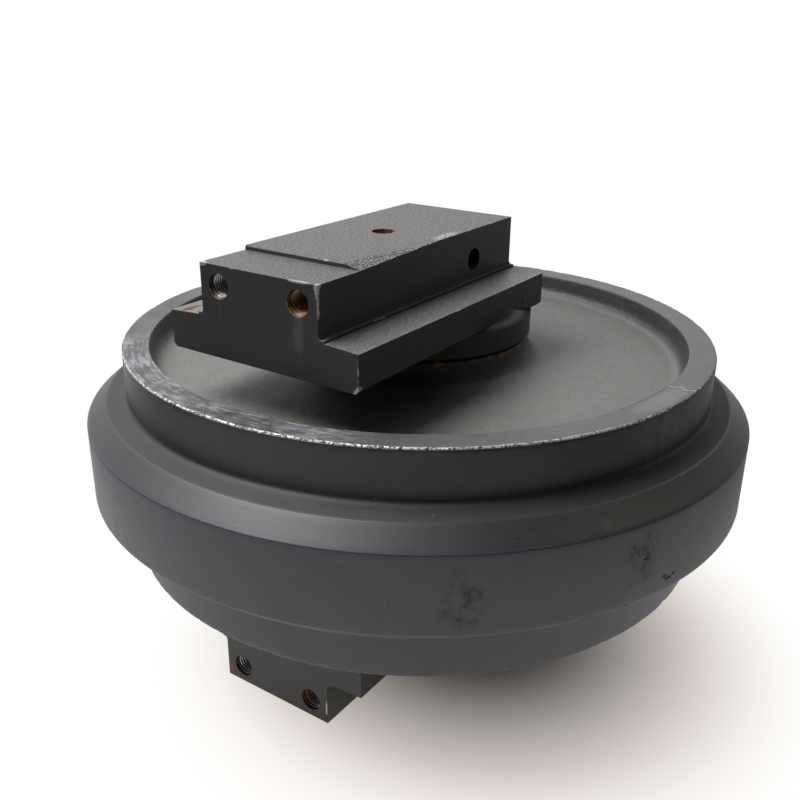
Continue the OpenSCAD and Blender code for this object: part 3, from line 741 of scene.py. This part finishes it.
# Corners of a wheel half's section: radius, height, rounding, longest step to the next corner
WHEEL_CORNERS = [
    (GUIDE_R, WELD_Z, 0, 3.5 * MM),
    (GUIDE_R, GUIDE_HALF, 1.2 * MM, 3.0 * MM),
    (BEVEL_R, BEVEL_Z, 1.2 * MM, 2.5 * MM),
    (TREAD_R, SHOULDER_Z, 5 * MM, 3.0 * MM),
    (TREAD_R, RIM_Z, 1.3 * MM, 1.6 * MM),
    (LAND_R, RIM_Z, 1.2 * MM, FINE),
    (DISH_R, WEB_Z, 9 * MM, WEB_STEP),
    (HUB_R, WEB_Z, 16 * MM, FINE),
    (HUB_R, HUB_Z, 0.8 * MM, 3 * MM),
    (SEAL_MOUTH_R, HUB_Z, 0, COARSE),
    (SEAL_FLOOR_R, SEAL_FLOOR_Z, 0, COARSE),
    (BUSH_SEAT_R, SEAL_FLOOR_Z, 0, COARSE),
    (BUSH_SEAT_R, BUSH_END_Z, 0, COARSE),
    (OIL_SPACE_R, BUSH_END_Z, 0, COARSE),
    (OIL_SPACE_R, 0, 0, COARSE),
    (HUB_TUBE_R, 0, 0, COARSE),
    (HUB_TUBE_R, HOLLOW_Z, 10 * MM, COARSE),
    (HOLLOW_RIM_R, HOLLOW_Z, 10 * MM, COARSE),
    (HOLLOW_RIM_R, POCKET_Z, 0, COARSE),
    (HOLLOW_GUIDE_R, POCKET_HALF, 0, COARSE),
    (HOLLOW_GUIDE_R, 0, 0, COARSE),
    (WELD_R, 0, 0, COARSE),
]


def fade(value, low, high):
    """Numbers that go smoothly from 0 at low to 1 at high."""
    t = np.clip((np.asarray(value) - low) / (high - low), 0, 1)
    return t * t * (3 - 2 * t)


def fractal(points, size):
    """Noise at each point, about -1 to 1, with features of about the given size."""
    return np.array([noise.fractal(Vector(p) / size, 0.9, 2.1, OCTAVES) for p in points])


def turned_points(line):
    """A section's points, turned round the axle: radius, height, angle and place of each."""
    angles = np.linspace(-math.pi, math.pi, COLUMNS, endpoint=False)
    radius = np.repeat(line[:, 0], COLUMNS)
    height = np.repeat(line[:, 1], COLUMNS)
    around = np.tile(angles, len(line))
    return radius, height, around, np.stack([radius * np.cos(around), radius * np.sin(around), height], 1)


def wheel_shape():
    """Section and points of a wheel half, with the unevenness of the casting and the dents of its rim."""
    line = section_line(WHEEL_CORNERS)
    radius, height, around, points = turned_points(line)
    outside = np.zeros(len(line), bool)
    outside[: next(i for i in range(len(line)) if line[i, 0] < SEAL_MOUTH_R + TINY)] = True
    outside = np.repeat(outside, COLUMNS)
    cast = outside & (radius < LAND_R - 1 * MM) & (radius > HUB_R + 1 * MM)
    points[cast, 2] += CAST_UNEVEN * fractal(points[cast], CAST_SIZE)
    at_edge = (radius > TREAD_R - 2.6 * MM) & (radius < TREAD_R + 0.1 * MM)
    rim = outside & at_edge & (height > RIM_Z - 2.4 * MM)
    dent = np.maximum(0, fractal(points[rim], DENT_SIZE)) * RIM_DENT
    points[rim, 2] -= dent
    points[rim, :2] *= (1 - dent / TREAD_R)[:, None]
    return line, points, radius, height, around, outside


def wheel_half(name, node, side, shape, material):
    line, points, radius, height, around, outside = shape
    points = points.copy()
    if side > 0:
        start, full, end = BUILD_UP
        share = fade(around, start, full) * (around < end)
        slope = RIM_Z - (LAND_R - radius) * (RIM_Z - WEB_Z) / BUILD_UP_WIDTH
        at_dish = (radius > LAND_R - BUILD_UP_WIDTH) & (radius < LAND_R + 3 * MM)
        filled = outside & at_dish & (height > WEB_Z - 1 * MM)
        rise = np.maximum(0, np.minimum(slope + BUILD_UP_PROUD, RIM_Z) - points[:, 2]) * share
        points[filled, 2] += rise[filled]
        at_land = (radius > LAND_R - 3 * MM) & (radius < TREAD_R - 1 * MM)
        across = outside & at_land & (height > RIM_Z - 0.5 * MM)
        wander = end + CRACK_SWING * np.sin(radius * CRACK_WAVES)
        groove = across & (np.abs(around - wander) < math.pi / COLUMNS)
        points[groove, 2] -= CRACK_DEPTH
    else:
        points[:, 1:] *= -1
    mesh = new_mesh(name, points, ring_faces(len(line), COLUMNS))
    piece = add_piece(name, mesh, material, "wheel")
    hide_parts(node)


def weld_ring(material):
    steps = 5
    face = [(GUIDE_R, -WELD_Z + 2 * WELD_Z * i / (steps - 1)) for i in range(steps)]
    line = np.array(face + [(WELD_R, 0)])
    points = turned_points(line)[3]
    mesh = new_mesh("rim_weld_bead", points, ring_faces(len(line), COLUMNS))
    piece = add_piece("rim_weld_bead", mesh, material, "wheel")
    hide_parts("rim_weld")


def split_face(corners, normal, step):
    """Points inside a flat face and triangles over it, which count the corners first."""
    origin = corners[0]
    across = np.array(Vector(normal).orthogonal().normalized())
    along = np.cross(normal, across)
    flat = np.stack([(corners - origin) @ across, (corners - origin) @ along], 1)
    low, high = flat.min(0), flat.max(0)
    row = step * math.sqrt(3) / 2
    v, u = np.mgrid[1:math.ceil((high[1] - low[1]) / row), 1:math.ceil((high[0] - low[0]) / step) + 1]
    grid = np.stack([low[0] + (u - 0.5 * (v % 2)) * step, low[1] + v * row], -1).reshape(-1, 2)
    if len(grid):
        gaps = np.hypot(*(grid[:, None] - flat[None]).transpose(2, 0, 1)).min(1)
        grid = grid[gaps > 0.6 * step]
    count = len(flat)
    out = geometry.delaunay_2d_cdt([Vector(p) for p in (*flat, *grid)], [], [list(range(count))], 1, 1e-7)
    source = [min(s) if s else -1 for s in out[3]]
    triangles = [[source[i] for i in tri] for tri in out[2]]
    triangles = [t for t in triangles if min(t) >= 0]
    inner = origin + grid[:, :1] * across + grid[:, 1:] * along
    return inner, triangles


def refine(body, step):
    """Mesh points and triangles of a body whose flat faces are split into triangles about a step wide."""
    by_cuts = {}
    for e in body.edges:
        cuts = math.ceil(e.calc_length() / step) - 1
        if cuts > 0:
            by_cuts.setdefault(cuts, []).append(e)
    for cuts, edges in by_cuts.items():
        bmesh.ops.bisect_edges(body, edges=edges, cuts=cuts)
    body.verts.index_update()
    points = [np.array(v.co) for v in body.verts]
    faces = []
    for face in body.faces:
        index = [v.index for v in face.verts]
        inner, triangles = split_face(np.array([points[i] for i in index]), np.array(face.normal), step)
        index += range(len(points), len(points) + len(inner))
        points += list(inner)
        faces += [[index[i] for i in tri] for tri in triangles]
    used = sorted({i for face in faces for i in face})
    renumber = {old: new for new, old in enumerate(used)}
    return np.array([points[i] for i in used]), [[renumber[i] for i in face] for face in faces]


EDGE_ANGLE = 25 * DEG
EDGE_ROUND = 0.7 * MM
STEP_ROUND = 1.4 * MM
MOUTH_BEVEL = 0.6 * MM
MERGE_DISTANCE = 2e-6
FLAT_ANGLE = 0.5 * DEG
HOLE_MARGIN = 0.5 * MM
BOLT_REACH = 60 * MM
NORMAL_WEIGHT = 80
SKIN_STEP = 3 * MM


def in_hole(v):
    """True for a point of a hole or of the seal's recess."""
    x, y, z = v.co.x, abs(v.co.y), v.co.z
    if math.hypot(x, y) < SEAL_RECESS_R and z < LEDGE_Z + 1 * MM:
        return True
    if x > FRONT_X - BOLT_REACH and math.hypot(y - BOLT_Y, z - BOLT_Z) < BOLT_R + HOLE_MARGIN:
        return True
    return min(math.hypot(x, z - PIN_Z), math.hypot(x - PLUG_X, y)) < HOLE_R + HOLE_MARGIN


def sharp_edges(body, test):
    """Edges between faces that meet at an angle, with both ends passing a test."""
    bent = (e for e in body.edges if len(e.link_faces) == 2 and e.calc_face_angle(0) > EDGE_ANGLE)
    return [e for e in bent if all(test(v) for v in e.verts)]


def bevel(body, edges, width, segments):
    bmesh.ops.bevel(
        body, geom=edges, offset=width, segments=segments, profile=0.5, affect="EDGES", clamp_overlap=True)


def distance_to_lines(points, lines):
    """Distance from each point to the nearest of the lines."""
    nearest = np.full(len(points), 1.0)
    for a, b in lines:
        way = b - a
        t = np.clip((points - a) @ way / (way @ way), 0, 1)
        nearest = np.minimum(nearest, np.linalg.norm(points - a - t[:, None] * way, axis=1))
    return nearest


def bracket_skins(material):
    """Both brackets, from one skin: rounded edges, a soft step at the pad and small triangles."""
    body = bmesh.new()
    body.from_mesh(nodes["upper_bracket"].data)
    bmesh.ops.remove_doubles(body, verts=body.verts, dist=MERGE_DISTANCE)
    bmesh.ops.dissolve_limit(body, angle_limit=FLAT_ANGLE, verts=body.verts, edges=body.edges)
    outer = sharp_edges(body, lambda v: not in_hole(v))
    lines = [[np.array(v.co) for v in e.verts] for e in outer if e.is_convex]
    mouths = sharp_edges(body, lambda v: in_hole(v) and v.co.x > FRONT_X - TINY)
    bevel(body, mouths, MOUTH_BEVEL, 1)
    step = sharp_edges(body, lambda v: abs(v.co.x - PAD_X) < TINY and v.co.z > TOP_Z - TINY)
    bevel(body, step, STEP_ROUND, 3)
    bevel(body, sharp_edges(body, lambda v: not in_hole(v)), EDGE_ROUND, 2)
    points, faces = refine(body, SKIN_STEP)
    body.free()
    distance = distance_to_lines(points, lines)
    for level, side in (("upper", 1), ("lower", -1)):
        name = f"{level}_bracket_casting"
        mesh = new_mesh(name, points * (1, side, side), faces)
        mesh.attributes.new("edge_distance", "FLOAT", "POINT").data.foreach_set("value", distance)
        piece = add_piece(name, mesh, material, "frame")
        smoother = piece.modifiers.new("even_normals", "WEIGHTED_NORMAL")
        smoother.weight = NORMAL_WEIGHT
        smoother.keep_sharp = True
        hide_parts(f"{level}_bracket")


def bolt_thread(name, y, z, material):
    """Helical ridge inside a yoke bolt's hole."""
    count = int(THREAD_LEN / PITCH * PER_TURN)
    root = BOLT_R + THREAD_SUNK
    crest = BOLT_R - THREAD_DEPTH
    profile = [(root, -THREAD_FOOT), (crest, -THREAD_TIP), (crest, THREAD_TIP), (root, THREAD_FOOT)]
    points = []
    for i in range(count + 1):
        turn = 2 * math.pi * i / PER_TURN
        depth = FRONT_X - THREAD_START - PITCH * i / PER_TURN
        grow = min(1.0, i / PER_TURN)
        for r, s in profile:
            ridge = root + (r - root) * grow
            points.append((depth + s, y + ridge * math.cos(turn), z + ridge * math.sin(turn)))
    faces = []
    for i in range(count):
        for k in range(4):
            m = (k + 1) % 4
            faces.append((4 * i + k, 4 * i + m, 4 * i + 4 + m, 4 * i + 4 + k))
    faces += [(3, 2, 1, 0), tuple(4 * count + k for k in range(4))]
    add_piece(name, new_mesh(name, points, faces), material, "frame")


def add_camera():
    data = bpy.data.cameras.new("camera")
    data.lens = LENS
    data.sensor_width = SENSOR_WIDTH
    data.shift_y = SHIFT_Y
    data.clip_start = CLIP_START
    camera = bpy.data.objects.new("camera", data)
    scene.collection.objects.link(camera)
    scene.camera = camera
    level = math.cos(CAMERA_ELEVATION)
    place = CAMERA_DISTANCE * Vector((
        level * math.cos(CAMERA_AZIMUTH), level * math.sin(CAMERA_AZIMUTH), math.sin(CAMERA_ELEVATION)))
    forward = FAR * math.cos(VIEW_PITCH) - UP * math.sin(VIEW_PITCH)
    right = forward.cross(UP).normalized()
    upward = right.cross(forward)
    roll = Matrix.Rotation(VIEW_ROLL, 3, -forward)
    right, upward = roll @ right, roll @ upward
    camera.matrix_world = Matrix((right, upward, -forward)).transposed().to_4x4()
    camera.location = place


# Light of the set by direction: towards what, the cosines between which it grows, and its colour
DIM = (0.055, 0.050, 0.045)
GLOWS = (
    (FAR + LEFT * 0.2 + UP * 0.4, (0.3, 0.85), (0.25, 0.25, 0.25)),
    (LEFT + UP * 1.6, (0.3, 0.95), (0.12, 0.13, 0.15)),
    (LEFT * -1 + FAR * 0.6 - UP * 0.35, (0.60, 0.95), (0.23, 0.23, 0.22)),
)

# One large soft lamp above the left side: place, diameter and watts
KEY_PLACE = LEFT * 0.62 + FAR * -0.17 + UP * 1.10
KEY_SIZE = 0.80
KEY_POWER = 20


def add_world():
    world = bpy.data.worlds.new("studio")
    scene.world = world
    world.use_nodes = True
    tree = world.node_tree
    tree.nodes.clear()

    def node(kind, **settings):
        made = tree.nodes.new(kind)
        for key, value in settings.items():
            setattr(made, key, value)
        return made

    def link(a, b):
        tree.links.new(a, b)

    direction = node("ShaderNodeTexCoord").outputs["Generated"]
    total = None
    masks = []
    for towards, (start, full), colour in GLOWS:
        facing = node("ShaderNodeVectorMath", operation="DOT_PRODUCT")
        link(direction, facing.inputs[0])
        facing.inputs[1].default_value = towards.normalized()
        grow = node("ShaderNodeMapRange", interpolation_type="SMOOTHSTEP")
        for socket, number in zip(list(grow.inputs)[1:5], (start, full, 0.0, 1.0)):
            socket.default_value = number
        link(facing.outputs["Value"], grow.inputs[0])
        masks.append(grow.outputs[0])
        glow = node("ShaderNodeVectorMath", operation="MULTIPLY_ADD")
        glow.inputs[0].default_value = colour
        link(grow.outputs[0], glow.inputs[1])
        if total is None:
            glow.inputs[2].default_value = DIM
        else:
            link(total, glow.inputs[2])
        total = glow.outputs[0]
    light = node("ShaderNodeBackground")
    link(total, light.inputs["Color"])
    white = node("ShaderNodeBackground")
    white.inputs["Color"].default_value = (*WHITE, 1)

    # The white backdrop fills the camera's view, and stands behind the part in gloss and glass
    rays = node("ShaderNodeLightPath")
    mirrored = node("ShaderNodeMath", operation="ADD")
    link(rays.outputs["Is Glossy Ray"], mirrored.inputs[0])
    link(rays.outputs["Is Transmission Ray"], mirrored.inputs[1])
    behind = node("ShaderNodeMath", operation="MULTIPLY_ADD")
    link(mirrored.outputs[0], behind.inputs[0])
    link(masks[0], behind.inputs[1])
    link(rays.outputs["Is Camera Ray"], behind.inputs[2])
    seen = node("ShaderNodeMixShader")
    link(behind.outputs[0], seen.inputs[0])
    link(light.outputs[0], seen.inputs[1])
    link(white.outputs[0], seen.inputs[2])
    link(seen.outputs[0], node("ShaderNodeOutputWorld").inputs["Surface"])


# The floor turns into the white backdrop round the shadow, and ends further out. The backdrop glow's share
# and warm colour paint the shadow's fall-off and tint; the real shadow shows near its middle.
FLOOR_HALF = 4.0
SHADOW_MIDDLE = FAR * -0.050 + LEFT * -0.054
SHADOW_FADE = (0.035, 0.264)
WARM_FADE = (0.15, 0.28)
FLOOR_MIDDLE = FAR * -0.20 + LEFT * 0.10
FLOOR_FADE = (0.35, 0.80)


def add_floor():
    mesh = bpy.data.meshes.new("floor")
    signs = ((-1, -1), (1, -1), (1, 1), (-1, 1))
    mesh.from_pydata([(x * FLOOR_HALF, y * FLOOR_HALF, 0) for x, y in signs], [], [(0, 1, 2, 3)])
    floor = bpy.data.objects.new("floor", mesh)
    scene.collection.objects.link(floor)
    floor.location.z = FLOOR_Z
    f = Finish("pale_floor", roughness=0.9, specular=0.1)
    f.surface("Base Color", f.mix(f.noise(3, 3), FLOOR, FLOOR_DULL))
    rays = f.node("ShaderNodeLightPath").outputs
    seen = f.sum(rays["Is Camera Ray"], rays["Is Glossy Ray"], rays["Is Transmission Ray"])
    glow = f.node("ShaderNodeEmission")
    # Warm white near the shadow's middle paints a warm tint into the shadow
    backdrop_and_shadow_tint = f.mix(f.ramp(f.distance(SHADOW_MIDDLE), *WARM_FADE), WARM_WHITE, WHITE)
    f.feed(glow.inputs["Color"], backdrop_and_shadow_tint)
    clear = f.node("ShaderNodeBsdfTransparent").outputs[0]
    # The glow's share grows away from the shadow's middle and paints how the shadow fades; the real shadow
    # shows where it is small
    glow_share_painting_shadow = f.product(seen, f.ramp(f.distance(SHADOW_MIDDLE), *SHADOW_FADE))
    backdrop = f.mix_shader(glow_share_painting_shadow, f.shader.outputs[0], glow.outputs[0])
    f.feed(f.output, f.mix_shader(f.ramp(f.distance(FLOOR_MIDDLE), *FLOOR_FADE), backdrop, clear))
    mesh.materials.append(f.material)


def add_lamp(name, place, size, power):
    """Round soft light that faces the part."""
    data = bpy.data.lights.new(name, "AREA")
    data.shape = "DISK"
    data.size = size
    data.energy = power
    lamp = bpy.data.objects.new(name, data)
    scene.collection.objects.link(lamp)
    lamp.location = place
    lamp.rotation_mode = "QUATERNION"
    lamp.rotation_quaternion = place.to_track_quat("Z", "Y")


scene.view_settings.view_transform = "Standard"
add_camera()
add_world()
add_floor()
add_lamp("key", KEY_PLACE, KEY_SIZE, KEY_POWER)

wheel_finish = wheel_paint()
bracket_finish = bracket_paint()
shape = wheel_shape()
wheel_half("upper_wheel_casting", "upper_wheel_half", 1, shape, wheel_finish)
wheel_half("lower_wheel_casting", "lower_wheel_half", -1, shape, wheel_finish)
weld_ring(wheel_finish)
bracket_skins(bracket_finish)
rusty_thread = thread_steel("rusty_thread", 1.0)
bright_thread = thread_steel("bright_thread", 0.3)
for level, z in (("upper", BOLT_Z), ("lower", -BOLT_Z)):
    for hand, y in (("left", BOLT_Y), ("right", -BOLT_Y)):
        rusty = level == "lower" or hand == "left"
        bolt_thread(f"{level}_{hand}_bolt_thread", y, z, rusty_thread if rusty else bright_thread)

finishes = {slot: plain_metal(slot, *values) for slot, values in METALS.items()}
finishes["seal_rubber"] = rubber("seal_rubber")
finishes["plug_steel"] = rusty_steel("plug_steel", RUST_DARK, RUST)
for entry in frame["record"]["subparts"]:
    finish = finishes.get(entry["material_slot"])
    if finish:
        nodes[entry["node"]].data.materials[0] = finish
